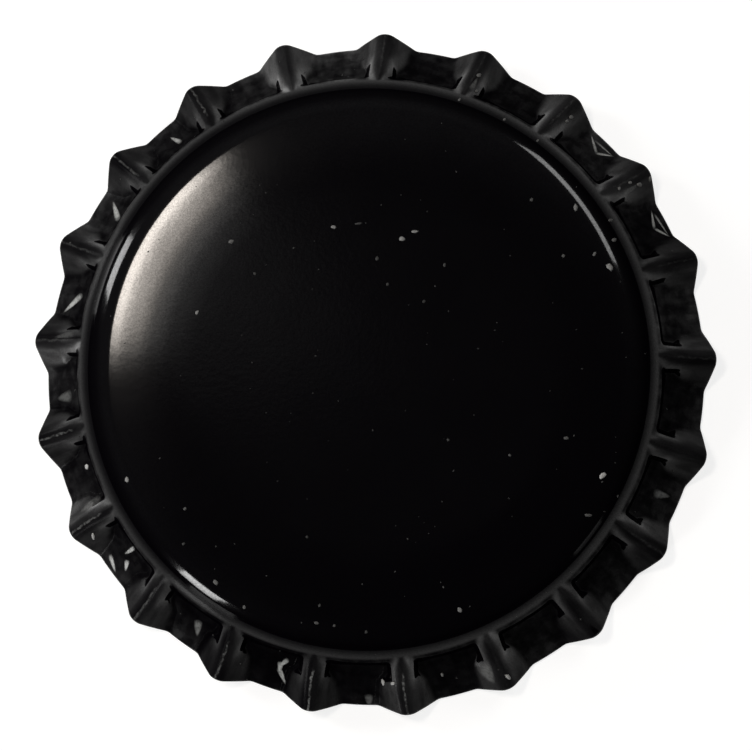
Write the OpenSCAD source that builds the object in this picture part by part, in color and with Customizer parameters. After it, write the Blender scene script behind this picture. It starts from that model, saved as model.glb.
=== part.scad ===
// A crown cap for a glass bottle: a drawn and fluted shell of thin sheet steel, with a
// moulded sealing liner inside. It stands on the edge of its skirt, panel up, +Z up.
// The origin is the centre of the plane that it stands on.

/* [Shell] */
// Diameter over the tips of the flutes
cap_d = 32.1; // [31:0.1:40]
// Height from the standing edge to the top of the panel
cap_h = 6; // [5.6:0.1:8]
// Thickness of the sheet
sheet_t = 0.24; // [0.18:0.01:0.3]
// Bore of the throat, which slips over the bottle's mouth
throat_d = 26.75; // [22:0.05:28]
// Length of the full ring of the throat, below the corner
throat_l = 0.4; // [0.2:0.05:0.6]

/* [Panel] */
// Diameter of the flat middle of the panel
flat_d = 16; // [8:0.5:18]
// Radius of the dome between the flat and the corner
dome_r = 30; // [20:1:60]
// Outer radius of the corner, where the panel turns down into the throat
corner_r = 2; // [1.4:0.05:2.4]

/* [Flutes] */
// Number of flutes
flutes = 21; // [18:1:24]
// How far the tip of a flute stands out past the valleys
flute_depth = 0.61; // [0.5:0.01:0.9]
// How far the tip of a flute ends above the valleys' edge
tip_rise = 1.1; // [0.4:0.05:1.2]
// Slope of the corner where the flutes leave it
root_slope = 60; // [50:1:65]
// How far the ridge of a flute keeps that slope: 0 is a straight ridge, and more bows outwards
ridge_lead = 0.49; // [0.2:0.01:0.6]
// How late the valleys flare out: 1 is a straight line, and more stays steep for longer
valley_flare = 1.35; // [1.2:0.05:2]

/* [Flute section] */
// Share of its pitch that a flute takes up along its neck, next to the corner
neck_share = 0.35; // [0.3:0.01:0.4]
// Share of its pitch that a flute takes up where its body starts
body_share = 0.54; // [0.45:0.01:0.6]
// Share of its pitch that a flute takes up at its tip
tip_share = 0.62; // [0.5:0.01:0.7]
// Radius along the ridge of a flute, in its neck
neck_ridge_r = 0.7; // [0.4:0.05:0.75]
// Radius along the ridge of a flute, at its tip
tip_ridge_r = 0.5; // [0.4:0.05:0.75]
// Radius in the foot of a flute, where its flank meets the valley, in its neck
neck_foot_r = 0.06; // [0.04:0.01:0.2]
// Radius in the foot of a flute, where its flank meets the valley, in its body
body_foot_r = 0.3; // [0.2:0.05:0.4]

/* [Liner] */
// Gap between the edge of the liner and the throat's wall
liner_inset = 0.82; // [0.7:0.01:1.1]
// Thickness of the middle of the liner
membrane_t = 0.25; // [0.2:0.01:0.35]
// Width of the thick sealing ring at its edge
seal_w = 3.1; // [2.8:0.05:4]
// Thickness of the sealing ring between its beads
seal_t = 0.5; // [0.4:0.01:0.65]
// Distance from the liner's edge to the outer bead
outer_bead = 0.8; // [0.7:0.05:0.9]
// Distance from the liner's edge to the inner bead
inner_bead = 2.2; // [2:0.05:2.3]
// Width of a bead
bead_w = 1.3; // [1:0.05:1.4]
// How far a bead stands out of the sealing ring
bead_h = 0.4; // [0.2:0.01:0.5]
// Gap between the liner and the curved part of the panel
liner_gap = 0.04; // [0.03:0.01:0.1]

/* [Hidden] */

shell_color = "#1b1c1e";
liner_color = "#c9ccc6";

// Radii of the section
throat_r = throat_d / 2;
throat_out = throat_r + sheet_t;
flat_r = flat_d / 2;

// The corner runs smoothly out of the dome and ends upright, where the throat starts
corner_x = throat_out - corner_r;
dome_z = cap_h - dome_r;
corner_z = dome_z + sqrt(pow(dome_r - corner_r, 2) - pow(corner_x - flat_r, 2));
dome_angle = asin((corner_x - flat_r) / (dome_r - corner_r));
throat_foot = corner_z - throat_l;

// Ends of the skirt's outside. The sheet is cut square to its face, so its inner edge is the
// lower one and stands on the ground: the outer edge of a valley is higher by the slope there.
tip_x = cap_d / 2;
valley_x = tip_x - flute_depth;
flare_run = valley_flare * (valley_x - throat_out);
first_slope = atan(throat_foot / flare_run);
edge_slope = atan((throat_foot - sheet_t * cos(first_slope)) / flare_run);
valley_z = sheet_t * cos(edge_slope);

// A ridge is a smooth curve from its root on the corner, past a knee, to its tip
root = corner_point(0, root_slope);
tip = [tip_x, valley_z + tip_rise];
knee = root + ridge_lead * norm(tip - root) * [cos(root_slope), -sin(root_slope)];

// Lengths down a valley: round the corner, along the throat, and out to the edge. The flare
// is a little longer than its chord.
to_radians = PI / 180;
bend_l = corner_r * (90 - root_slope) * to_radians;
flare_l = 1.08 * norm([valley_x - throat_out, throat_foot - valley_z]);
valley_l = bend_l + throat_l + flare_l;

// Where the neck of a flute ends and its body starts, as shares of the way down
neck_end = 0.48;
body_start = 0.66;

// Smoothness of the section's arcs, of the liner, and of the revolved solids
arc_steps = 8;
liner_steps = 60;
smooth = 120;

// Rows of the skirt below the throat's ring, and columns over half a flute
lower_rows = 5;
half_columns = 6;
pitch = 360 / flutes;

// The skirt and the drawn cup lap inside the metal, this far from either face
seat = sheet_t / 3;

function reversed(points) = [for (i = [len(points) - 1:-1:0]) points[i]];
function unit(v) = v / norm(v);
function blend(low, high, u) = low + (high - low) * u;

// From 0 to 1 as t goes from start to end, with smooth ends
function eased(t, start, end) =
    let (u = max(0, min(1, (t - start) / (end - start))))
    u * u * (3 - 2 * u);

// Points of an arc about (x, z), at angles from upright
function arc(x, z, r, from, to) =
    [for (i = [0:arc_steps])
        let (a = blend(from, to, i / arc_steps))
        [x + r * sin(a), z + r * cos(a)]];

// Point of the corner at a depth inside the sheet, where it has this slope
function corner_point(depth, slope) =
    [corner_x + (corner_r - depth) * sin(slope), corner_z + (corner_r - depth) * cos(slope)];

// One side of the sheet from the axis round the corner to last_slope
function panel_side(depth, last_slope) = concat(
    [[0, cap_h - depth]],
    arc(flat_r, dome_z, dome_r - depth, 0, dome_angle),
    arc(corner_x, corner_z, corner_r - depth, dome_angle, last_slope)
);

// Lines down the skirt's outside, as [radius, height] at t from 0 to 1
function ridge_point(t) =
    root * pow(1 - t, 2) + 2 * knee * t * (1 - t) + tip * t * t;

function valley_point(t) =
    let (
        s = t * valley_l,
        u = (s - bend_l - throat_l) / flare_l
    )
    s < bend_l ? corner_point(0, root_slope + s / corner_r / to_radians)
    : u < 0 ? [throat_out, corner_z - (s - bend_l)]
    : [blend(throat_out, valley_x, pow(u, valley_flare)), blend(throat_foot, valley_z, u)];

// Half the angle that a flute takes up: narrow in its neck, wide at its tip
function half_span(t) =
    let (
        to_body = blend(neck_share, body_share, eased(t, neck_end, body_start)),
        to_tip = (tip_share - body_share) * max(0, t - body_start) / (1 - body_start)
    )
    pitch / 2 * (to_body + to_tip);

// Point of half a flute's section at a share of the way along it: sideways place and height.
// w is its half width and h its height. It has a round ridge of radius r, a straight flank
// and a round foot.
function section_point(share, w, h, r, foot) =
    let (
        a = atan2(h - r, w) + asin(min(1, r / norm([w, h - r]))),
        edge = w + foot * tan(a / 2),
        ridge_end = [r * sin(a), h - r + r * cos(a)],
        foot_start = [edge - foot * sin(a), foot - foot * cos(a)],
        flank = norm(foot_start - ridge_end),
        ridge_l = r * a * to_radians,
        foot_l = foot * a * to_radians,
        s = share * (ridge_l + flank + foot_l),
        on_ridge = s / r / to_radians,
        on_foot = (ridge_l + flank + foot_l - s) / foot / to_radians
    )
    s < ridge_l ? [r * sin(on_ridge), h - r + r * cos(on_ridge)]
    : s < ridge_l + flank ? blend(ridge_end, foot_start, (s - ridge_l) / flank)
    : [edge - foot * sin(on_foot), foot - foot * cos(on_foot)];

// Point of the skirt's outside at t down it and a share of the way across half a flute, as
// [angle from the ridge, radius, height]
function half_flute_point(t, share) =
    let (
        valley = valley_point(t),
        ridge = ridge_point(t),
        h = norm(ridge - valley),
        w = half_span(t) * to_radians * valley[0],
        r = blend(neck_ridge_r, tip_ridge_r, t),
        foot = blend(neck_foot_r, body_foot_r, eased(t, 0, body_start)),
        place = section_point(share, w, h, r, foot),
        up = valley + (ridge - valley) * place[1] / h
    )
    [place[0] / valley[0] / to_radians, up[0], up[1]];

function turned(point, angle) =
    [point[1] * cos(angle), point[1] * sin(angle), point[2]];

// One pitch of a row: half a flute, the middle of the valley, and the next flute's near half
function pitch_points(t) =
    let (
        half = [for (i = [0:half_columns]) half_flute_point(t, i / half_columns)],
        valley = valley_point(t)
    )
    concat(half, [[pitch / 2, valley[0], valley[1]]],
        [for (i = [half_columns:-1:1]) [pitch - half[i][0], half[i][1], half[i][2]]]);

// Rows round the whole skirt
function outer_row(t) =
    let (points = pitch_points(t))
    [for (k = [0:flutes - 1]) for (point = points) turned(point, k * pitch + point[0])];

function inner_row(t) =
    let (
        step = 0.01,
        row = outer_row(t),
        above = outer_row(t - step),
        below = outer_row(min(t + step, 1)),
        n = len(row)
    )
    [for (j = [0:n - 1])
        let (across = row[(j + 1) % n] - row[(j + n - 1) % n])
        row[j] + sheet_t * unit(cross(across, below[j] - above[j]))];

// A round row at [radius, height], with the columns of the row at t
function round_row(place, t) =
    let (points = pitch_points(t))
    [for (k = [0:flutes - 1])
        for (point = points) turned([0, place[0], place[1]], k * pitch + point[0])];

// The skirt as rows of points: out of its seat in the corner, down the outside, up the inside,
// and back up through the metal of the throat and the corner
start = 0.005;
lap = 0.02;
bend_end = bend_l / valley_l;
ring_end = (bend_l + throat_l + lap) / valley_l;
upper_rows = [start, bend_end / 2, bend_end, ring_end];
down_rows = [for (i = [1:lower_rows]) blend(ring_end, 1, i / lower_rows)];
mid_slope = (root_slope + 90) / 2;
deep = sheet_t - seat;

skirt_rows = concat(
    [round_row(corner_point(seat, root_slope), start)],
    [for (t = concat(upper_rows, down_rows)) outer_row(t)],
    [for (t = reversed(down_rows)) inner_row(t)],
    [round_row([throat_out - deep, throat_foot - lap], ring_end)],
    [round_row(corner_point(deep, 90), bend_end)],
    [round_row(corner_point(deep, mid_slope), bend_end / 2)],
    [round_row(corner_point(deep, root_slope), start)]
);

// The fluted skirt, closed in a loop of rows
module skirt() {
    rows = len(skirt_rows);
    columns = len(skirt_rows[0]);
    points = [for (row = skirt_rows) each row];
    faces = [for (i = [0:rows - 1])
        for (j = [0:columns - 1])
            let (
                below = (i + 1) % rows * columns,
                beside = (j + 1) % columns,
                a = i * columns + j,
                b = i * columns + beside,
                c = below + beside,
                d = below + j
            )
            each [[a, b, c], [a, c, d]]];
    polyhedron(points = points, faces = faces, convexity = 10);
}

// Panel, corner and the ring of the throat, which the skirt closes around
module drawn_cup() {
    cup_slope = root_slope + 2;
    rotate_extrude($fn = smooth)
        polygon(concat(
            panel_side(0, cup_slope),
            [corner_point(seat, 90), [throat_out - seat, throat_foot], [throat_r, throat_foot]],
            reversed(panel_side(sheet_t, 90))
        ));
}

// The pressed shell: one piece of sheet
module crown_shell() {
    color(shell_color)
        union() {
            drawn_cup();
            skirt();
        }
}

// Top of the liner at radius x: flat against the panel, then just clear of its curves
function liner_top(x) =
    let (
        dome_in = dome_r - sheet_t - liner_gap,
        corner_in = corner_r - sheet_t - liner_gap,
        corner_start = corner_x + corner_in * sin(dome_angle)
    )
    x <= flat_r ? cap_h - sheet_t
    : x < corner_start ? dome_z + sqrt(dome_in * dome_in - pow(x - flat_r, 2))
    : corner_z + sqrt(corner_in * corner_in - pow(x - corner_x, 2));

function bead(distance) =
    abs(distance) < bead_w / 2 ? bead_h * pow(cos(180 * distance / bead_w), 2) : 0;

// Thickness of the liner at a distance from its edge. Its edge is rounded off, and the ring
// slopes down to the middle.
function liner_thickness(distance) =
    let (
        edge = sin(90 * min(1, (distance + 0.05) / 0.35)),
        slope_w = 0.5,
        slope = min(1, max(0, (distance - seal_w) / slope_w)),
        base = seal_t + (membrane_t - seal_t) * (1 - cos(180 * slope)) / 2
    )
    edge * base + bead(distance - outer_bead) + bead(distance - inner_bead);

// The liner: a thin disc with a thick sealing ring that has two round beads
module sealing_liner() {
    liner_r = throat_r - liner_inset;
    ring_start = liner_r - seal_w - 0.6;
    ring_x = [for (i = [0:liner_steps]) ring_start + (liner_r - ring_start) * i / liner_steps];
    top_x = concat([0, flat_r], [for (x = ring_x) if (x > flat_r) x]);
    bottom_x = concat([0], ring_x);
    color(liner_color)
        rotate_extrude($fn = smooth)
            polygon(concat(
                [for (x = top_x) [x, liner_top(x)]],
                [for (x = reversed(bottom_x)) [x, liner_top(x) - liner_thickness(liner_r - x)]]
            ));
}

crown_shell();
sealing_liner();
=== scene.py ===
"""Looks of a black crown bottle cap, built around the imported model."""
import math
import random

import bpy
import numpy as np
from mathutils import Matrix, Vector
from mathutils.bvhtree import BVHTree


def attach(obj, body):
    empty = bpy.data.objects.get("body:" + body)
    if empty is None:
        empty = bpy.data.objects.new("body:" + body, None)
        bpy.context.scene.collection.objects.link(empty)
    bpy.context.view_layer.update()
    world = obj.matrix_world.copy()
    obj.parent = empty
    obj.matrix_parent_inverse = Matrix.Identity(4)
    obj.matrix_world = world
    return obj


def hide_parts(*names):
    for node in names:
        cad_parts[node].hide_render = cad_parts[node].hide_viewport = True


MM = 0.001
TURN = 2.36     # how far the cap is turned in the view, in degrees

# ---------------------------------------------------------------- sizes, in millimetres
# They repeat the construction's driving sizes, because the finished sheet is modelled finer.
CAP_D = 32.1
CAP_H = 6.0
SHEET_T = 0.24
THROAT_D = 26.75
THROAT_L = 0.4
FLAT_R = 8.0
DOME_R = 30.0
CORNER_R = 2.0
FLUTES = 21
FLUTE_DEPTH = 0.61
TIP_RISE = 1.1
ROOT_SLOPE = 60
RIDGE_LEAD = 0.49
VALLEY_FLARE = 1.35
NECK_SHARE = 0.35
BODY_SHARE = 0.54
TIP_SHARE = 0.62
NECK_END = 0.48
BODY_START = 0.66
NECK_RIDGE_R = 0.7
TIP_RIDGE_R = 0.5
NECK_FOOT_R = 0.06
TIP_FOOT_R = 0.3
LINER_INSET = 0.82
MEMBRANE_T = 0.25
SEAL_W = 3.1
SEAL_T = 0.5
BEADS = (0.8, 2.2)       # distances from the liner's edge
BEAD_W = 1.3
BEAD_H = 0.4
LINER_GAP = 0.04

PITCH = 360 / FLUTES


def sind(a):
    return np.sin(np.radians(a))


def cosd(a):
    return np.cos(np.radians(a))


# Derived places on the section
WALL_R = THROAT_D / 2 + SHEET_T
CORNER_X = WALL_R - CORNER_R
DOME_Z = CAP_H - DOME_R
CORNER_Z = DOME_Z + math.sqrt((DOME_R - CORNER_R) ** 2 - (CORNER_X - FLAT_R) ** 2)
DOME_ANGLE = math.degrees(math.asin((CORNER_X - FLAT_R) / (DOME_R - CORNER_R)))
THROAT_FOOT = CORNER_Z - THROAT_L
ROOT = np.array([CORNER_X + CORNER_R * sind(ROOT_SLOPE), CORNER_Z + CORNER_R * cosd(ROOT_SLOPE)])
TIP_X = CAP_D / 2
VALLEY_X = TIP_X - FLUTE_DEPTH
FLARE_RUN = VALLEY_FLARE * (VALLEY_X - WALL_R)
FIRST_SLOPE = math.degrees(math.atan(THROAT_FOOT / FLARE_RUN))
EDGE_SLOPE = math.degrees(math.atan((THROAT_FOOT - SHEET_T * cosd(FIRST_SLOPE)) / FLARE_RUN))
VALLEY_Z = SHEET_T * cosd(EDGE_SLOPE)
TIP_Z = VALLEY_Z + TIP_RISE


# ---------------------------------------------------------------- the pressed sheet
def arc(x, z, r, start, end, steps):
    a = np.linspace(start, end, steps + 1)
    return np.stack([x + r * sind(a), z + r * cosd(a)], 1)


def section():
    """The outside of the sheet from near the axis down to where the flutes leave the corner."""
    flat = [[r, CAP_H] for r in (2.5, 5, 7)]
    dome = arc(FLAT_R, DOME_Z, DOME_R, 0, DOME_ANGLE, 8)
    corner = arc(CORNER_X, CORNER_Z, CORNER_R, DOME_ANGLE, ROOT_SLOPE, 14)
    return np.concatenate([flat, dome, corner[1:-1]])


def ridge_point(t):
    """The crest line: it leaves the corner along its slope there and flares to the tip."""
    tip = np.array([TIP_X, TIP_Z])
    lead = RIDGE_LEAD * np.linalg.norm(tip - ROOT)
    knee = ROOT + lead * np.array([cosd(ROOT_SLOPE), -sind(ROOT_SLOPE)])
    return ROOT * (1 - t) ** 2 + 2 * knee * t * (1 - t) + tip * t * t


BEND_END = CORNER_R * math.radians(90 - ROOT_SLOPE)
THROAT_END = BEND_END + THROAT_L
FLARE_LENGTH = 1.08 * math.hypot(VALLEY_X - WALL_R, THROAT_FOOT - VALLEY_Z)
VALLEY_LENGTH = THROAT_END + FLARE_LENGTH


def valley_point(t):
    """The valley line: round the corner, down the throat and out to the rim."""
    s = t * VALLEY_LENGTH
    if s < BEND_END:
        a = ROOT_SLOPE + math.degrees(s / CORNER_R)
        return np.array([CORNER_X + CORNER_R * sind(a), CORNER_Z + CORNER_R * cosd(a)])
    if s < THROAT_END:
        return np.array([WALL_R, CORNER_Z - (s - BEND_END)])
    u = (s - THROAT_END) / FLARE_LENGTH
    return np.array([WALL_R + (VALLEY_X - WALL_R) * u ** VALLEY_FLARE,
                     THROAT_FOOT + (VALLEY_Z - THROAT_FOOT) * u])


def smooth(t, start, end):
    u = np.clip((t - start) / (end - start), 0, 1)
    return u * u * (3 - 2 * u)


def half_span(t):
    """Half a flute's width at its foot, in degrees: narrow at the neck, wide at the rim."""
    share = NECK_SHARE + (BODY_SHARE - NECK_SHARE) * smooth(t, NECK_END, BODY_START)
    share += (TIP_SHARE - BODY_SHARE) * max(0, t - BODY_START) / (1 - BODY_START)
    return PITCH / 2 * share


def flute_section(w, h, r, foot, shares):
    """Points along half a flute, from its crest to its foot: sideways place, height and slope."""
    a = math.atan2(h - r, w) + math.asin(min(1, r / math.hypot(w, h - r)))
    a = min(a, math.radians(86))
    edge = w + foot * math.tan(a / 2)
    crest_end = np.array([r * math.sin(a), h - r + r * math.cos(a)])
    foot_start = np.array([edge - foot * math.sin(a), foot - foot * math.cos(a)])
    flank = max(float(np.linalg.norm(foot_start - crest_end)), 1e-6)
    total = r * a + flank + foot * a
    x, y = [], []
    for share in shares:
        s = share * total
        if s < r * a:
            x.append(r * math.sin(s / r))
            y.append(h - r + r * math.cos(s / r))
        elif s < r * a + flank:
            place = crest_end + (foot_start - crest_end) * (s - r * a) / flank
            x.append(place[0])
            y.append(place[1])
        else:
            left = (total - s) / foot
            x.append(edge - foot * math.sin(left))
            y.append(foot - foot * math.cos(left))
    return np.array(x), np.array(y)


# How far the flutes stray: sideways in degrees, and outwards and upwards in millimetres
LEAN = 0.3
REACH = 0.035
LIFT = 0.05
LEAN_T = 0.6        # the share of the way down the skirt where a flute has its whole lean
LIGHT_WEAR = (0, 0.2)
USUAL_SHEEN = (0.6, 1.3)
# Flute and how strong the light line along its crest is: partly worn lacquer, partly a painted glint
WORN_AND_GLINT_CRESTS = ((7, 0.5), (8, 0.5), (11, 0.6), (12, 0.7), (13, 0.5), (14, 0.6), (15, 1.4), (16, 1.2))
# Flute, its flank (0 or 1) and that flank's gloss. This list and the next follow brightness that a
# scratch script measured for each flute: report.md says how.
FLANK_SHEEN = (
    (0, 1, 0.5), (1, 0, 0.5), (5, 0, 1.6), (6, 0, 2.3), (10, 0, 2.8), (12, 1, 2.1), (14, 0, 0.6),
    (14, 1, 0.5), (15, 1, 0.5), (17, 1, 1.1), (19, 1, 0.5),
)
# Flute and the gloss of the valley after it
VALLEY_GLOSS = (
    (0, 1.8), (3, 0.4), (4, 0.5), (5, 1.3), (6, 0.6), (8, 1.5), (10, 0.5), (13, 0.3), (14, 0.3),
    (15, 0.5), (16, 0.3), (17, 0.6), (18, 0.7), (19, 0.7),
)


class Flutes:
    """How far each flute strays from its even place, how its lacquer is worn, and how strong the glint
    painted along its crest is.
    """

    def __init__(self):
        draw = random.Random(7)
        n = FLUTES
        self.lean = np.array([draw.gauss(0, LEAN) for _ in range(n)])
        self.reach = np.array([draw.gauss(0, REACH) for _ in range(n)])
        self.lift = np.array([draw.gauss(0, LIFT) for _ in range(n)])
        self.lean[15] = -0.5
        self.lean[16] = -0.8
        # How strong the light line along its crest is, partly worn lacquer and partly a painted glint, and
        # how glossy its two flanks are
        self.crest_wear_and_glint = np.array([draw.uniform(*LIGHT_WEAR) for _ in range(n)])
        for k, crest_wear_and_glint in WORN_AND_GLINT_CRESTS:
            self.crest_wear_and_glint[k] = crest_wear_and_glint
        self.sheen = np.array([[draw.uniform(*USUAL_SHEEN) for _ in range(2)] for _ in range(n)])
        for k, side, sheen in FLANK_SHEEN:
            self.sheen[k, side] = sheen
        # How glossy the valley after each flute is
        self.hollow = np.ones(n)
        for k, hollow in VALLEY_GLOSS:
            self.hollow[k] = hollow

    def centre(self, k, t):
        return PITCH * k + self.lean[k % FLUTES] * np.clip(t / LEAN_T, 0, 1)


FAR = 9.0       # stands for a distance from any crest that is out of reach of its wear
SHARES = np.linspace(0, 1, 17)
VALLEY_COLUMNS = 4
SKIRT_T = [0, 0.02, 0.04, 0.06, 0.08, 0.1, 0.13, 0.16, 0.19, 0.22, 0.26, 0.3, 0.35, 0.4, 0.45,
           0.5, 0.56, 0.62, 0.68, 0.75, 0.82, 0.9, 0.96, 0.988]


def half_flute(flutes, k, t):
    """Sideways angles, section places and distances from the crest, for one side of flute k."""
    valley = valley_point(t)
    top = ridge_point(t) + np.array([flutes.reach[k], flutes.lift[k]]) * t * t
    h = max(float(math.hypot(*(top - valley))), 1e-4)
    r = NECK_RIDGE_R + (TIP_RIDGE_R - NECK_RIDGE_R) * t
    foot = NECK_FOOT_R + (TIP_FOOT_R - NECK_FOOT_R) * smooth(t, 0, BODY_START)
    w = math.radians(half_span(t)) * valley[0]
    x, rise = flute_section(w, h, r, foot, SHARES)
    return np.degrees(x / valley[0]), valley + (top - valley) * (rise / h)[:, None], x, rise / h


def skirt_row(flutes, t):
    """Points and distances from the crest of one row round the skirt."""
    angles, places, away, rises = [], [], [], []
    for k in range(FLUTES):
        k1 = (k + 1) % FLUTES
        c0 = flutes.centre(k, t)
        c1 = flutes.centre(k1, t) + (360 if k1 == 0 else 0)
        off0, place0, x0, rise0 = half_flute(flutes, k, t)
        off1, place1, x1, rise1 = half_flute(flutes, k1, t)
        e0, e1 = c0 + off0[-1], c1 - off1[-1]
        between = e0 + (e1 - e0) * np.arange(1, VALLEY_COLUMNS + 1) / (VALLEY_COLUMNS + 1)
        valley = np.repeat(valley_point(t)[None], VALLEY_COLUMNS, 0)
        angles += [c0 + off0, between, (c1 - off1)[:0:-1]]
        places += [place0, valley, place1[:0:-1]]
        away += [x0, np.full(VALLEY_COLUMNS, FAR), -x1[:0:-1]]
        rises += [rise0, np.zeros(VALLEY_COLUMNS), rise1[:0:-1]]
    a, p = np.concatenate(angles), np.concatenate(places)
    points = np.stack([p[:, 0] * cosd(a), p[:, 0] * sind(a), p[:, 1]], 1)
    return a, points, np.concatenate(away), np.concatenate(rises)


# Painted glints on the skirt: light spots painted where lamps glint on it, a painted highlight.
# Azimuth in the view, radius, length, width in millimetres, strength, and the turn of their length
# from straight outwards. Most places are rounded from a scratch script's output, or worked out
# from marks measured in the view: report.md says how.
PAINTED_GLINTS = (
    (130, 14.4, 0.7, 0.22, 0.7, 20), (147.5, 14.3, 1.1, 0.28, 0.8, -35),
    (166.5, 14.5, 1.2, 0.28, 0.8, 49), (184, 14.5, 0.8, 0.5, 0.15, 0), (205, 14.5, 1.2, 0.5, 0.15, 0),
    (215.5, 15.1, 0.8, 0.2, 0.9, 70), (217.6, 14.6, 0.5, 0.22, 1.0, 35), (216.2, 14.0, 0.6, 0.2, 0.9, -15),
    (235.4, 14.4, 0.7, 0.36, 0.3, 20), (291, 15.0, 1.0, 0.6, 0.2, 10), (337, 14.6, 0.7, 0.36, 0.35, 15),
    (269, 15.2, 0.55, 0.36, 0.2, 0), (35, 14.8, 0.9, 0.2, 0.15, 5), (70, 14.2, 0.7, 0.22, 0.15, 0),
    (173, 14.4, 1.1, 0.3, 0.1, 10),
    # One curved painted glint
    (253.0, 14.12, 0.6, 0.2, 0.8, -43), (252.5, 14.38, 0.55, 0.24, 0.8, 3),
    (253.1, 14.7, 0.75, 0.22, 0.8, 35),
    # Two small triangles at the rim: painted glint outlines
    (46.2, 14.9, 0.95, 0.12, 0.7, 60), (43.5, 14.9, 0.8, 0.12, 0.7, -48),
    (44.5, 15.1, 1.05, 0.09, 0.5, -86),
    (28.8, 14.9, 0.9, 0.12, 0.7, 70), (26.1, 15.0, 0.75, 0.12, 0.7, -51),
    (27.4, 15.15, 1.2, 0.09, 0.5, -84),
)


def column_values(flutes):
    """The crest wear and painted crest glint, sheen and hollow of the flute that each column of the grid
    belongs to.
    """
    near, far = len(SHARES) + VALLEY_COLUMNS, len(SHARES) - 1
    crest_wear_and_glint, sheen, hollow = [], [], []
    for k in range(FLUTES):
        k1 = (k + 1) % FLUTES
        crest_wear_and_glint += [flutes.crest_wear_and_glint[k]] * near + [flutes.crest_wear_and_glint[k1]] * far
        sheen += [flutes.sheen[k, 0]] * near + [flutes.sheen[k1, 1]] * far
        hollow += [flutes.hollow[k]] * (near + far)
    return {"crest_wear_and_glint": np.array(crest_wear_and_glint), "sheen": np.array(sheen), "hollow": np.array(hollow)}


def normals_of(grid):
    """Outward normals of a closed grid of rows that run down the outside of the sheet."""
    down = np.gradient(grid, axis=0)
    across = np.roll(grid, -1, 1) - np.roll(grid, 1, 1)
    n = np.cross(down, across)
    return n / np.linalg.norm(n, axis=2, keepdims=True)


def shell_grid():
    """The outside of the sheet as a grid, with what the lacquer needs to know of each point."""
    flutes = Flutes()
    angles = skirt_row(flutes, 0)[0]
    rows, known = [], {"down": [], "away": [], "rise": []}
    for r, z in section():
        rows.append(np.stack([r * cosd(angles), r * sind(angles), np.full_like(angles, z)], 1))
        for name, value in (("down", -1), ("away", FAR), ("rise", 1)):
            known[name].append(np.full_like(angles, value))
    for t in SKIRT_T + [1.0]:
        _, points, away, rise = skirt_row(flutes, t)
        rows.append(points)
        for name, value in (("down", np.full_like(away, t)), ("away", away), ("rise", rise)):
            known[name].append(value)
    known = {name: np.array(values) for name, values in known.items()}
    for name, values in column_values(flutes).items():
        known[name] = np.repeat(values[None], len(rows), 0)
    return np.array(rows), known


EDGE_ROUND = 0.035
OUTSIDE, CUT_EDGE, INSIDE = range(3)    # the shell's material slots


def make_shell():
    """The pressed shell: its outside, its cut edge and its inside in one closed mesh."""
    grid, known = shell_grid()
    n = normals_of(grid)
    known["slope"] = np.degrees(np.arccos(np.clip(n[:, :, 2], -1, 1)))
    outside = grid[:-1]
    inside = outside - SHEET_T * n[:-1]
    # The cut edge: square to the sheet, with its corners a little rounded
    edge = [grid[-1] - n[-1] * d for d in (EDGE_ROUND, SHEET_T / 2, SHEET_T - EDGE_ROUND)]
    rows = np.concatenate([outside, edge, inside[::-1]])
    count, columns = rows.shape[:2]
    verts = rows.reshape(-1, 3).tolist()
    top = len(verts)
    verts += [[0, 0, CAP_H], [0, 0, CAP_H - SHEET_T]]
    faces, kinds = [], []
    out_rows = len(outside)
    for i in range(count - 1):
        kind = OUTSIDE if i < out_rows - 1 else CUT_EDGE if i < out_rows + len(edge) else INSIDE
        for j in range(columns):
            k = (j + 1) % columns
            a, b = i * columns, (i + 1) * columns
            faces.append((a + j, b + j, b + k, a + k))
            kinds.append(kind)
    for j in range(columns):
        k = (j + 1) % columns
        faces.append((top, j, k))
        kinds.append(OUTSIDE)
        last = (count - 1) * columns
        faces.append((top + 1, last + k, last + j))
        kinds.append(INSIDE)
    obj = mesh_object("pressed_shell", verts, faces)
    obj.data.polygons.foreach_set("material_index", kinds)
    for name, values in known.items():
        both = np.concatenate([values[:-1], np.repeat(values[-1:], len(edge), 0), values[:-1][::-1]])
        add_attribute(obj.data, name, both)
    return obj


def add_attribute(mesh, name, values):
    """One number per vertex of the grid, and the first one's number at the two poles."""
    values = np.concatenate([values.ravel(), [values[0, 0]] * 2]).astype(np.float32)
    layer = mesh.attributes.new(name, "FLOAT", "POINT")
    layer.data.foreach_set("value", values)


# ---------------------------------------------------------------- the liner
LINER_R = WALL_R - SHEET_T - LINER_INSET
GATE_R = 0.7
GATE_H = 0.04
GATE_EDGE = 0.15
RIM_BLEND = 0.35        # how far in from the liner's edge it reaches its full thickness
RIM_START = 0.05
SEAL_SLOPE = 0.5        # the width of the slope from the seal down to the thin middle
LINER_COLUMNS = 180


def liner_top(x):
    """Height of the liner's upper side: flat against the panel, then just clear of its curves."""
    dome_in = DOME_R - SHEET_T - LINER_GAP
    corner_in = CORNER_R - SHEET_T - LINER_GAP
    if x <= FLAT_R:
        return CAP_H - SHEET_T
    if x < CORNER_X + corner_in * sind(DOME_ANGLE):
        return DOME_Z + math.sqrt(dome_in ** 2 - (x - FLAT_R) ** 2)
    return CORNER_Z + math.sqrt(corner_in ** 2 - (x - CORNER_X) ** 2)


def bead(distance):
    return BEAD_H * cosd(180 * distance / BEAD_W) ** 2 if abs(distance) < BEAD_W / 2 else 0


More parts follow.
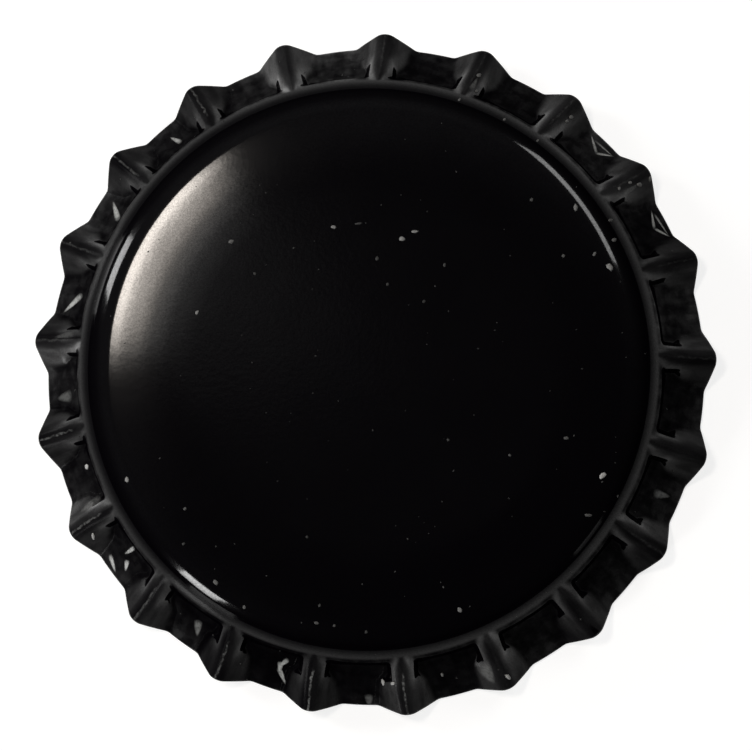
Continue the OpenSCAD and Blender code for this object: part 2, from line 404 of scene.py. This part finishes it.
def liner_thickness(x):
    """Thickness of the liner at a radius: the seal with its two beads, and the thin middle."""
    inwards = LINER_R - x
    edge = sind(90 * min(1, (inwards + RIM_START) / RIM_BLEND))
    slope = min(1, max(0, (inwards - SEAL_W) / SEAL_SLOPE))
    base = SEAL_T + (MEMBRANE_T - SEAL_T) * (1 - cosd(180 * slope)) / 2
    gate = GATE_H * smooth(-x, -GATE_R, -GATE_R + GATE_EDGE)
    return edge * base + bead(inwards - BEADS[0]) + bead(inwards - BEADS[1]) + gate


def make_liner():
    """The moulded liner, as rows round the axis from the top's middle to the bottom's."""
    ring_start = LINER_R - SEAL_W - 0.6
    top_x = [2, 5, FLAT_R] + list(np.linspace(FLAT_R + 0.3, LINER_R, 24))
    bottom_x = [0.2, 0.4, 0.5, 0.55, 0.6, 0.65, 0.7, 0.8, 1, 2, 3.5, 5, 6.5, 8]
    bottom_x += list(np.linspace(ring_start, LINER_R, 90))
    section = [[x, liner_top(x)] for x in top_x]
    section += [[x, liner_top(x) - liner_thickness(x)] for x in reversed(bottom_x)]
    columns = LINER_COLUMNS
    around = np.arange(columns) * 360 / columns
    rows = [np.stack([x * cosd(around), x * sind(around), np.full(columns, z)], 1) for x, z in section]
    verts = np.concatenate(rows + [[[0, 0, CAP_H - SHEET_T]], [[0, 0, section[-1][1]]]])
    top, bottom = len(verts) - 2, len(verts) - 1
    faces = []
    for j in range(columns):
        k = (j + 1) % columns
        faces.append((top, j, k))
        last = (len(section) - 1) * columns
        faces.append((bottom, last + k, last + j))
        for i in range(len(section) - 1):
            a, b = i * columns, (i + 1) * columns
            faces.append((a + j, b + j, b + k, a + k))
    return mesh_object("seal_disc", verts, faces)


# ---------------------------------------------------------------- dust, and glints painted as pale specks
# Specks seen on the cap: azimuth in the view, radius, length, width in millimetres, paleness
# (usually from 0 to 1), and the turn of their length from straight outwards. Most places are rounded from
# a scratch script's output: report.md says how. The skirt specks paler than 1, and the one at 283
# degrees, are painted glints: painted highlights shaped as pale specks.
DUST_AND_GLINT_SPECKS = (
    (103, 6.6, 0.32, 0.2, 0.7, 60), (74, 6.1, 0.38, 0.28, 0.7, 100), (70, 6.6, 0.45, 0.2, 0.7, 110),
    (335, 12.0, 0.5, 0.3, 0.9, 70), (205, 12.2, 0.4, 0.25, 0.8, 80), (37, 12.1, 0.48, 0.25, 0.6, 60),
    (22, 12.1, 0.5, 0.35, 0.7, 100), (26, 11.7, 0.3, 0.2, 0.5, 30), (291, 12.0, 0.32, 0.26, 0.6, 0),
    (93, 6.6, 0.5, 0.12, 0.3, 95), (84, 5.0, 0.28, 0.2, 0.3, 0), (52, 5.9, 0.26, 0.18, 0.35, 40),
    (75, 3.9, 0.2, 0.18, 0.3, 0), (48, 4.0, 0.22, 0.18, 0.25, 0), (45, 10.8, 0.24, 0.2, 0.35, 0),
    (29, 10.4, 0.22, 0.2, 0.4, 0), (31, 13.1, 0.26, 0.22, 0.4, 0), (27, 12.8, 0.28, 0.24, 0.45, 0),
    (218, 10.6, 0.22, 0.2, 0.45, 0), (224, 11.7, 0.22, 0.18, 0.3, 0), (235, 12.1, 0.36, 0.26, 0.5, 80),
    (243, 12.4, 0.24, 0.22, 0.5, 0), (340, 9.8, 0.36, 0.2, 0.4, 20), (326, 12.3, 0.46, 0.18, 0.4, 35),
    (259, 11.2, 0.22, 0.18, 0.3, 0), (259, 12.0, 0.32, 0.18, 0.4, 90), (263, 12.0, 0.2, 0.18, 0.35, 0),
    (270, 12.2, 0.2, 0.18, 0.3, 0), (318, 5.1, 0.2, 0.16, 0.3, 0), (328, 7.8, 0.2, 0.16, 0.4, 0),
    (162, 8.2, 0.3, 0.2, 0.7, 70), (137, 8.5, 0.36, 0.26, 0.5, 60), (140, 6.7, 0.22, 0.16, 0.3, 0),
    (251, 8.3, 0.2, 0.16, 0.25, 0), (71, 13.1, 0.22, 0.16, 0.5, 0), (61, 13.1, 0.2, 0.16, 0.5, 0),
    (53, 13.1, 0.2, 0.16, 0.45, 0), (198, 14.0, 0.36, 0.26, 1.3, 70), (210, 15.1, 0.4, 0.22, 1.2, 60),
    (272, 14.4, 0.42, 0.24, 1.3, 10), (274, 14.5, 0.3, 0.22, 1.2, 80), (294, 15.5, 0.42, 0.22, 1.2, 20),
    (283, 14.4, 0.24, 0.18, 0.7, 0), (70, 14.7, 0.3, 0.26, 0.5, 0), (69, 13.9, 0.24, 0.18, 0.5, 0),
    (35, 15.2, 0.32, 0.28, 0.6, 0), (36, 14.9, 0.22, 0.2, 0.6, 0), (35, 15.8, 0.34, 0.2, 0.6, 40),
    (36, 14.3, 0.26, 0.18, 0.6, 30), (52, 15.1, 0.3, 0.24, 0.6, 0), (52, 14.8, 0.24, 0.2, 0.6, 0),
)
SPECK_SCALE = 0.8
SPECK_HEIGHT = 0.25     # a share of its width
FINE_DUST = 150
FINE_SIZE = (0.04, 0.1)
FINE_REACH = 15.6
FINE_PALE = (0.1, 0.35)


BLOB_SIDES = 9
BLOB_FOOT = -0.3        # how deep a lump is sunk, as a share of its height
BLOB_RINGS = ((0.8, BLOB_FOOT), (1.0, 0.3), (0.6, 0.85))     # size and level of each ring


def blob(draw, length, width, height):
    """A small closed lump with an uneven outline, and its faces."""
    sides = BLOB_SIDES
    verts = []
    ragged = [draw.uniform(0.8, 1.1) for _ in range(sides)]
    for size, level in BLOB_RINGS:
        for i, r in enumerate(ragged):
            a = 360 * i / sides
            verts.append((r * size * length / 2 * cosd(a), r * size * width / 2 * sind(a), level * height))
    verts += [(0, 0, BLOB_FOOT * height), (0, 0, height)]
    faces = []
    for i in range(sides):
        j = (i + 1) % sides
        faces.append((3 * sides, j, i))
        faces.append((3 * sides + 1, 2 * sides + i, 2 * sides + j))
        for row in (0, sides):
            faces.append((row + i, row + j, row + sides + j, row + sides + i))
    return verts, faces


LEAST_UPRIGHT = 0.3     # the least height part of a normal that on_slope takes


def on_slope(azimuth, normal):
    """A step of one millimetre as seen from above, laid on a slope."""
    way = Vector((cosd(azimuth), sind(azimuth), 0))
    return way - Vector((0, 0, way.dot(normal) / max(normal.z, LEAST_UPRIGHT)))


def fine_specks(draw):
    """The finest dust, anywhere on the cap."""
    specks = []
    for _ in range(FINE_DUST):
        size = draw.uniform(*FINE_SIZE)
        r = FINE_REACH * math.sqrt(draw.random())
        azimuth = draw.uniform(0, 360)
        length = size * draw.uniform(1, 1.8)
        specks.append((azimuth, r, length, size, draw.uniform(*FINE_PALE), draw.uniform(0, 180)))
    return specks


def make_dust_and_glints(shell):
    """Specks of dust, and a few painted glints shaped as specks, each seated on the lacquer below it."""
    draw = random.Random(3)
    tree = BVHTree.FromPolygons([v.co for v in shell.data.vertices],
                                [tuple(p.vertices) for p in shell.data.polygons])
    specks = list(DUST_AND_GLINT_SPECKS) + fine_specks(draw)
    verts, faces, pales = [], [], []
    for azimuth, r, length, width, pale, turn in specks:
        a = azimuth - TURN
        length, width = SPECK_SCALE * length, SPECK_SCALE * width
        above = Vector((r * cosd(a), r * sind(a), 2 * CAP_H)) * MM
        hit, normal, _, _ = tree.ray_cast(above, Vector((0, 0, -1)))
        if hit is None:
            continue
        along, side = (on_slope(a + turn + off, normal) for off in (0, 90))
        lump, lump_faces = blob(draw, length, width, SPECK_HEIGHT * width)
        first = len(verts)
        verts += [hit / MM + along * float(x) + side * float(y) + normal * float(z)
                  for x, y, z in lump]
        faces += [tuple(first + i for i in face) for face in lump_faces]
        pales += [pale] * len(lump)
    obj = mesh_object("dust_and_glints", np.array(verts), faces)
    layer = obj.data.attributes.new("pale", "FLOAT", "POINT")
    layer.data.foreach_set("value", np.array(pales, dtype=np.float32))
    return obj


def mesh_object(name, verts, faces):
    """A smooth object from points in millimetres."""
    mesh = bpy.data.meshes.new(name)
    mesh.from_pydata((np.array(verts) * MM).tolist(), [], faces)
    mesh.polygons.foreach_set("use_smooth", [True] * len(faces))
    mesh.update()
    obj = bpy.data.objects.new(name, mesh)
    bpy.context.scene.collection.objects.link(obj)
    return obj


# ---------------------------------------------------------------- materials
class Graph:
    """A short way to write a material's or the world's nodes."""

    def __init__(self, tree):
        self.nodes, self.links = tree.nodes, tree.links

    def set(self, socket, value):
        if isinstance(value, bpy.types.NodeSocket):
            self.links.new(value, socket)
        else:
            socket.default_value = value

    def node(self, kind, **settings):
        node = self.nodes.new(kind)
        for name, value in settings.items():
            setattr(node, name, value)
        return node

    def math(self, operation, *values, clamp=False):
        node = self.node("ShaderNodeMath", operation=operation, use_clamp=clamp)
        for socket, value in zip(node.inputs, values):
            self.set(socket, value)
        return node.outputs[0]

    def vector(self, operation, *values):
        node = self.node("ShaderNodeVectorMath", operation=operation)
        sockets = [node.inputs[0], node.inputs["Scale"]] if operation == "SCALE" else node.inputs
        for socket, value in zip(sockets, values):
            self.set(socket, value)
        return node.outputs["Value" if operation in ("DOT_PRODUCT", "DISTANCE", "LENGTH") else "Vector"]

    def ramp(self, value, low, high, to_low=0.0, to_high=1.0):
        """Smoothly from to_low to to_high as the value goes from low to high."""
        node = self.node("ShaderNodeMapRange", interpolation_type="SMOOTHSTEP")
        for socket, number in zip(node.inputs, (value, low, high, to_low, to_high)):
            self.set(socket, number)
        return node.outputs[0]

    def curve(self, value, points):
        """A smooth curve through (value, result) points, with results from 0 to 1."""
        node = self.node("ShaderNodeValToRGB")
        node.color_ramp.interpolation = "EASE"
        self.set(node.inputs[0], value)
        ends = node.color_ramp.elements
        while len(ends) < len(points):
            ends.new(0.5)
        for end, (place, height) in zip(ends, points):
            end.position = place
            end.color = (height, height, height, 1)
        return node.outputs[0]

    def mix(self, share, a, b):
        node = self.node("ShaderNodeMix")
        for socket, value in zip((node.inputs[0], node.inputs[2], node.inputs[3]), (share, a, b)):
            self.set(socket, value)
        return node.outputs[0]

    def mix_colour(self, share, a, b):
        node = self.node("ShaderNodeMix", data_type="RGBA")
        for socket, value in zip((node.inputs[0], node.inputs[6], node.inputs[7]), (share, a, b)):
            self.set(socket, value)
        return node.outputs[2]

    def noise(self, place, scale, detail=2.0, roughness=0.5):
        node = self.node("ShaderNodeTexNoise")
        for name, value in (("Vector", place), ("Scale", scale), ("Detail", detail),
                            ("Roughness", roughness)):
            self.set(node.inputs[name], value)
        return node.outputs[0]

    def attribute(self, name):
        return self.node("ShaderNodeAttribute", attribute_name=name).outputs["Fac"]

    def millimetres(self):
        """The place on the object, in millimetres."""
        place = self.node("ShaderNodeTexCoord").outputs["Object"]
        return self.vector("MULTIPLY", place, (1000, 1000, 1000))


def material(name):
    mat = bpy.data.materials.new(name)
    mat.use_nodes = True
    graph = Graph(mat.node_tree)
    return mat, graph, graph.nodes["Principled BSDF"]


def round_place(g):
    """The place measured round the axis and down it, for marks that run down the flutes."""
    place = g.millimetres()
    flat = g.vector("NORMALIZE", g.vector("MULTIPLY", place, (1, 1, 0)))
    return g.vector("ADD", g.vector("MULTIPLY", flat, (15, 15, 0)),
                    g.vector("MULTIPLY", place, (0, 0, 0.25)))


def painted_glints(g):
    """Painted glints on the skirt, from 0 to 1: round at the inner end and thinning outwards."""
    flat = g.vector("MULTIPLY", g.millimetres(), (1, 1, 0))
    total = 0.0
    for azimuth, r, length, width, strength, turn in PAINTED_GLINTS:
        a = azimuth - TURN
        c, s = cosd(a + turn), sind(a + turn)
        off = g.vector("SUBTRACT", flat, (r * cosd(a), r * sind(a), 0))
        along = g.vector("DOT_PRODUCT", off, (c * 2 / length, s * 2 / length, 0))
        across = g.vector("DOT_PRODUCT", off, (-s * 2 / width, c * 2 / width, 0))
        across = g.math("MULTIPLY", across, g.math("MULTIPLY_ADD", along, 0.6, 1.1))
        size = g.math("ADD", g.math("POWER", g.math("ABSOLUTE", along), 2.0),
                      g.math("POWER", g.math("ABSOLUTE", across), 2.0))
        total = g.math("MAXIMUM", total, g.ramp(size, 0.1, 1.3, strength, 0.0))
    return total


def surface_bump(g, height, strength, distance, normal=None):
    bump = g.node("ShaderNodeBump")
    g.set(bump.inputs["Height"], height)
    g.set(bump.inputs["Strength"], strength)
    g.set(bump.inputs["Distance"], distance)
    if normal is not None:
        g.set(bump.inputs["Normal"], normal)
    return bump.outputs[0]


CREST_GLOSS = 0.1
WEAR_AND_GLINT_SHARE = 0.25       # how light the crest lines (worn lacquer and painted glint) and the worn rim are, beside the painted glints
BLACK = (0.0011, 0.0008, 0.0014, 1)
WEAR_AND_GLINT_GREY = (0.5, 0.51, 0.5, 1)


def lacquer_gloss(g, place):
    """How much gloss is left: full on the panel, rubbed on the shoulder, dull in the valleys."""
    rise, down, slope = (g.attribute(name) for name in ("rise", "down", "slope"))
    shoulder = g.math("ADD", g.ramp(slope, 30, 42, 0.5, 0.08), g.ramp(slope, 43, 60, 0.0, 0.16))
    panel = g.math("MULTIPLY", shoulder, g.ramp(slope, 66, 78, 1.0, 0.5))
    valley = g.curve(down, [(0.0, 0.1), (0.1, 0.06), (0.24, 0.02), (0.4, 0.026), (0.6, 0.045),
                            (0.78, 0.07), (0.95, 0.15)])
    blotches = g.ramp(g.noise(place, 1.6, 3.0), 0.35, 0.65, 0.6, 1.4)
    valley = g.math("MULTIPLY", g.math("MULTIPLY", valley, blotches), g.attribute("hollow"))
    flank = g.ramp(down, 0.45, 0.75, 0.4, 0.17)
    off_floor = g.mix(g.ramp(down, 0.35, 0.6), g.ramp(rise, 0.12, 0.75), g.ramp(rise, 0.04, 0.35))
    flute = g.mix(off_floor, valley, flank)
    flute = g.mix(g.ramp(rise, 0.75, 1.0), flute, CREST_GLOSS)
    streaks = g.ramp(g.noise(round_place(g), 2.2, 3.0), 0.3, 0.7, 0.45, 1.15)
    flute = g.math("MULTIPLY", g.math("MULTIPLY", flute, streaks), g.attribute("sheen"))
    gloss = g.mix(g.ramp(down, 0.0, 0.06), panel, flute)
    smudges = g.ramp(g.noise(place, 0.4, 4.0, 0.6), 0.3, 0.7, 0.92, 1.08)
    grain = g.ramp(g.noise(place, 14.0, 2.0, 0.7), 0.25, 0.75, 0.72, 1.28)
    return g.math("MULTIPLY", gloss, g.math("MULTIPLY", smudges, grain), clamp=True)


def wear_and_painted_glints(g, place):
    """A light line along each crest, partly worn lacquer and partly a painted glint, broken up along its
    way, wear at the rim, and painted glints on the skirt.
    """
    down = g.attribute("down")
    wander = g.math("MULTIPLY_ADD", g.noise(place, 2.5, 2.0), 0.2, -0.1)
    off_crest = g.math("ABSOLUTE", g.math("ADD", g.attribute("away"), wander))
    crest = g.math("MULTIPLY", g.ramp(off_crest, 0.015, 0.07, 1.0, 0.0), g.ramp(down, 0.3, 0.42))
    broken = g.ramp(g.noise(place, 3.5, 4.0, 0.7), 0.4, 0.6, 0.15, 1.0)
    crest = g.math("MULTIPLY", g.math("MULTIPLY", crest, broken), g.attribute("crest_wear_and_glint"))
    rim = g.math("MULTIPLY", g.ramp(down, 0.97, 0.995), g.ramp(g.noise(place, 2.5, 3.0), 0.45, 0.62))
    uneven = g.ramp(g.noise(place, 7.0, 2.0), 0.3, 0.6, 0.6, 1.1)
    glint_spot = g.math("MULTIPLY", painted_glints(g), uneven)
    wear_and_crest_glint = g.math("MULTIPLY", g.math("MAXIMUM", crest, rim), WEAR_AND_GLINT_SHARE)
    return g.math("MAXIMUM", wear_and_crest_glint, glint_spot)


def lacquer():
    """Glossy black lacquer. All its gloss is in the coat, so that it can wear off."""
    mat, g, skin = material("black_lacquer")
    place = g.millimetres()
    # The colour: black, light where the lacquer is worn, and light where glints are painted: painted
    # highlights
    g.set(skin.inputs["Base Color"], g.mix_colour(wear_and_painted_glints(g, place), BLACK, WEAR_AND_GLINT_GREY))
    skin.inputs["Roughness"].default_value = 0.6
    skin.inputs["Specular IOR Level"].default_value = 0.0
    skin.inputs["Coat Roughness"].default_value = 0.08
    skin.inputs["Coat IOR"].default_value = 1.5
    g.set(skin.inputs["Coat Weight"], lacquer_gloss(g, place))
    peel = surface_bump(g, g.noise(place, 4.0, 1.0), 0.03, 0.00002)
    g.set(skin.inputs["Coat Normal"], peel)
    return mat


def cut_steel():
    """The sheared edge: bare steel with fine marks across it, gone a little dark."""
    mat, g, skin = material("cut_edge")
    marks = g.noise(round_place(g), 6.0, 3.0)
    dark, bright = (0.012, 0.012, 0.013, 1), (0.07, 0.07, 0.072, 1)
    g.set(skin.inputs["Base Color"], g.mix_colour(g.ramp(marks, 0.35, 0.65), dark, bright))
    skin.inputs["Metallic"].default_value = 1
    skin.inputs["Roughness"].default_value = 0.45
    g.set(skin.inputs["Normal"], surface_bump(g, marks, 0.4, 0.00004))
    return mat


def inner_lacquer():
    """Clear golden lacquer over bright steel, with the marks of drawing round it."""
    mat, g, skin = material("inner_lacquer")
    place = g.millimetres()
    patches = g.ramp(g.noise(place, 0.5, 3.0), 0.35, 0.65)
    gold, pale_gold = (0.62, 0.56, 0.4, 1), (0.7, 0.64, 0.49, 1)
    g.set(skin.inputs["Base Color"], g.mix_colour(patches, gold, pale_gold))
    skin.inputs["Metallic"].default_value = 1
    drawn = g.noise(g.vector("MULTIPLY", place, (1.2, 1.2, 14)), 1.0, 3.0)
    g.set(skin.inputs["Roughness"], g.ramp(drawn, 0.3, 0.7, 0.26, 0.42))
    g.set(skin.inputs["Normal"], surface_bump(g, drawn, 0.25, 0.00003))
    skin.inputs["Coat Weight"].default_value = 0.5
    skin.inputs["Coat Roughness"].default_value = 0.15
    return mat


def liner_compound():
    """Soft pale sealing compound, with faint flow marks of the mould."""
    mat, g, skin = material("liner_compound")
    place = g.millimetres()
    clouds = g.ramp(g.noise(place, 0.6, 3.0), 0.35, 0.65)
    grey, pale_grey = (0.56, 0.57, 0.54, 1), (0.64, 0.645, 0.61, 1)
    g.set(skin.inputs["Base Color"], g.mix_colour(clouds, grey, pale_grey))
    g.set(skin.inputs["Roughness"], g.ramp(g.noise(place, 2.0, 3.0), 0.3, 0.7, 0.36, 0.5))
    skin.inputs["Subsurface Weight"].default_value = 0.15
    skin.inputs["Subsurface Scale"].default_value = 0.0006
    flow = g.noise(round_place(g), 1.4, 2.0)
    fine = surface_bump(g, g.noise(place, 9.0, 3.0), 0.12, 0.00003)
    g.set(skin.inputs["Normal"], surface_bump(g, flow, 0.2, 0.00008, fine))
    return mat


def dust_and_glint_grey():
    """Dry pale dust, as light as each speck's own paleness; the palest specks are painted glints."""
    mat, g, skin = material("dust_and_glints")
    tone = g.ramp(g.noise(g.millimetres(), 12.0, 2.0), 0.3, 0.7, 0.75, 1.1)
    pale = g.math("MULTIPLY", g.math("POWER", g.attribute("pale"), 2.0), tone)
    dark, light = (0.01, 0.01, 0.01, 1), (0.45, 0.45, 0.44, 1)
    g.set(skin.inputs["Base Color"], g.mix_colour(pale, dark, light))
    skin.inputs["Roughness"].default_value = 0.9
    skin.inputs["Specular IOR Level"].default_value = 0.2
    return mat


# ---------------------------------------------------------------- stage
CAMERA_TILT = 6.1
CAMERA_TOWARDS = -46.5
CAMERA_AWAY = 300.0
CAMERA_TARGET = (0.243, -0.185, 3.0)
VIEW_WIDTH = 34.91
FLOOR_HALF = 1.5        # metres
FLOOR_GREY = 0.42
FLOOR_OWN_WHITE = 0.76


def look_at(obj, target, up):
    z = (obj.location - Vector(target)).normalized()
    x = Vector(up).cross(z).normalized()
    y = z.cross(x)
    obj.rotation_euler = Matrix((x, y, z)).transposed().to_euler()


def direction(azimuth, zenith):
    """The unit vector towards an azimuth as seen in the view and an angle from overhead."""
    a = azimuth - TURN
    return Vector((sind(zenith) * cosd(a), sind(zenith) * sind(a), cosd(zenith)))


def camera():
    """The place that the cap is seen from: far off and a little to one side of overhead."""
    target = Vector(CAMERA_TARGET) * MM
    data = bpy.data.cameras.new("camera")
    data.sensor_width = 36
    data.lens = data.sensor_width * CAMERA_AWAY / VIEW_WIDTH
    data.clip_start = 0.01
    cam = bpy.data.objects.new("camera", data)
    bpy.context.scene.collection.objects.link(cam)
    cam.location = target + direction(CAMERA_TOWARDS, CAMERA_TILT) * CAMERA_AWAY * MM
    look_at(cam, target, (sind(TURN), cosd(TURN), 0))
    bpy.context.scene.camera = cam


LAMP_AWAY = 0.6
# The high window: the place in the sky that its curved edge is centred on, in degrees from
# overhead, and the edge's distance from there
WINDOW_MIDDLE = 133.5
WINDOW_CENTRE = 6.1
WINDOW_EDGE = 19.5
WINDOW_FACING = 151     # the azimuth about which it shines
WINDOW_RADIANCE = 50
ROOM_MIDDLE = 125
ROOM_RADIANCE = 0.2
ROOM_LEAST = 0.02
WHITE = (1, 1, 1, 1)
WARM_WHITE = (1, 0.92, 0.84, 1)


def softbox(name, start, end, width, radiance):
    """A lamp facing the cap, from one place in the sky to another, with a width in degrees."""
    low, high = direction(*start), direction(*end)
    data = bpy.data.lights.new(name, "AREA")
    data.shape = "RECTANGLE"
    data.size = 2 * LAMP_AWAY * math.tan(low.angle(high) / 2)
    data.size_y = 2 * LAMP_AWAY * math.tan(math.radians(width / 2))
    data.energy = radiance * math.pi * data.size * data.size_y
    lamp = bpy.data.objects.new(name, data)
    bpy.context.scene.collection.objects.link(lamp)
    lamp.location = (low + high).normalized() * LAMP_AWAY
    look_at(lamp, (0, 0, 0), lamp.location.cross(high - low))


def floor():
    """A white floor. Part of its white is its own, so that the cap's shadow on it stays faint."""
    mesh = bpy.data.meshes.new("floor")
    r = FLOOR_HALF
    mesh.from_pydata([(-r, -r, 0), (r, -r, 0), (r, r, 0), (-r, r, 0)], [], [(0, 1, 2, 3)])
    obj = bpy.data.objects.new("floor", mesh)
    bpy.context.scene.collection.objects.link(obj)
    mat, g, skin = material("floor")
    skin.inputs["Base Color"].default_value = (FLOOR_GREY, FLOOR_GREY, FLOOR_GREY, 1)
    skin.inputs["Roughness"].default_value = 0.2
    skin.inputs["Specular IOR Level"].default_value = 0.4
    ray = g.node("ShaderNodeLightPath").outputs
    seen = g.math("MAXIMUM", ray["Is Camera Ray"], ray["Is Glossy Ray"])
    seen = g.math("MAXIMUM", seen, ray["Is Transmission Ray"])
    skin.inputs["Emission Color"].default_value = WHITE
    g.set(skin.inputs["Emission Strength"], g.math("MULTIPLY", seen, FLOOR_OWN_WHITE))
    mesh.materials.append(mat)


def room_light(g, level, height):
    """A dim room, brightest behind the cap's upper left."""
    facing = g.vector("DOT_PRODUCT", level, tuple(direction(ROOM_MIDDLE, 90)))
    side = g.math("POWER", g.math("MULTIPLY_ADD", facing, 0.5, 0.5, clamp=True), 1.5)
    rise = g.curve(height, [(0.0, 0.2), (0.35, 0.2), (0.8, 1.0), (0.93, 0.7), (0.99, 0.12)])
    return g.math("MULTIPLY_ADD", g.math("MULTIPLY", side, rise), ROOM_RADIANCE, ROOM_LEAST)


def window_light(g, level, height):
    """One large soft window high up: its far edge is sharp and curved, and it fades overhead."""
    zenith = g.math("DEGREES", g.math("ARCCOSINE", height))
    middle = direction(WINDOW_MIDDLE, 90) * WINDOW_CENTRE
    from_middle = g.vector("SUBTRACT", g.vector("SCALE", level, zenith), tuple(middle))
    reach = g.math("DIVIDE", g.vector("LENGTH", from_middle), WINDOW_EDGE)
    way = g.vector("NORMALIZE", from_middle)
    toward = g.vector("DOT_PRODUCT", way, tuple(direction(WINDOW_FACING, 90)))
    # The fade follows brightness that a scratch script measured in the view: report.md says how
    glow = g.curve(reach, [(0.0, 0.005), (0.305, 0.017), (0.49, 0.058), (0.68, 0.28), (0.742, 0.37),
                           (0.78, 0.56), (0.817, 0.76), (0.85, 1.0), (0.98, 1.0), (1.0, 0.0)])
    glow = g.math("MULTIPLY", glow, g.ramp(toward, 0.875, 0.995))
    return g.math("MULTIPLY", glow, WINDOW_RADIANCE)


def room():
    """The world: the room's own light and the window's, which is a little warmer."""
    world = bpy.data.worlds.new("room")
    bpy.context.scene.world = world
    world.use_nodes = True
    g = Graph(world.node_tree)
    way = g.node("ShaderNodeTexCoord").outputs["Generated"]
    parts = g.node("ShaderNodeSeparateXYZ")
    g.set(parts.inputs[0], way)
    height = parts.outputs[2]
    level = g.vector("NORMALIZE", g.vector("MULTIPLY", way, (1, 1, 0)))
    glow = window_light(g, level, height)
    warmth = g.math("MULTIPLY", glow, 0.2, clamp=True)
    strength = g.math("ADD", room_light(g, level, height), glow)
    g.set(g.nodes["Background"].inputs["Strength"], strength)
    g.set(g.nodes["Background"].inputs["Color"], g.mix_colour(warmth, WHITE, WARM_WHITE))


def lights():
    """The room and its lamps: each lamp's two ends as azimuth and zenith, its width and radiance."""
    room()
    softbox("window", (149, 61), (160.5, 61.5), 17, 18)
    softbox("window_foot", (150, 87), (165, 87), 12, 8)
    softbox("bar_lower_left", (221, 66), (231, 66.5), 16, 24)
    softbox("bar_foot", (225, 87), (236, 87), 12, 7)
    softbox("bar_lower_right", (318.5, 76), (328, 76.5), 10, 1.5)
    softbox("strip_right", (31, 46), (60.4, 56), 10, 8.5)


# ---------------------------------------------------------------- build
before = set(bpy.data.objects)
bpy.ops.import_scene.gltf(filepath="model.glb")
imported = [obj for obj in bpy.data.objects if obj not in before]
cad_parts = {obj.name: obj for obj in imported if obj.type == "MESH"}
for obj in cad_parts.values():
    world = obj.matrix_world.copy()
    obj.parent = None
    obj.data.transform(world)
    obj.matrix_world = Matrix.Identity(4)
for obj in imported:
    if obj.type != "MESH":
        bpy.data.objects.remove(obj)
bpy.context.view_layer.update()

shell = make_shell()
for finish in (lacquer(), cut_steel(), inner_lacquer()):
    shell.data.materials.append(finish)
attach(shell, "root")
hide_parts("crown_shell")

liner = make_liner()
liner.data.materials.append(liner_compound())
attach(liner, "root")
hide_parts("sealing_liner")

dust_and_glints = make_dust_and_glints(shell)
dust_and_glints.data.materials.append(dust_and_glint_grey())
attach(dust_and_glints, "root")

camera()
floor()
lights()
bpy.context.scene.view_settings.view_transform = "Standard"
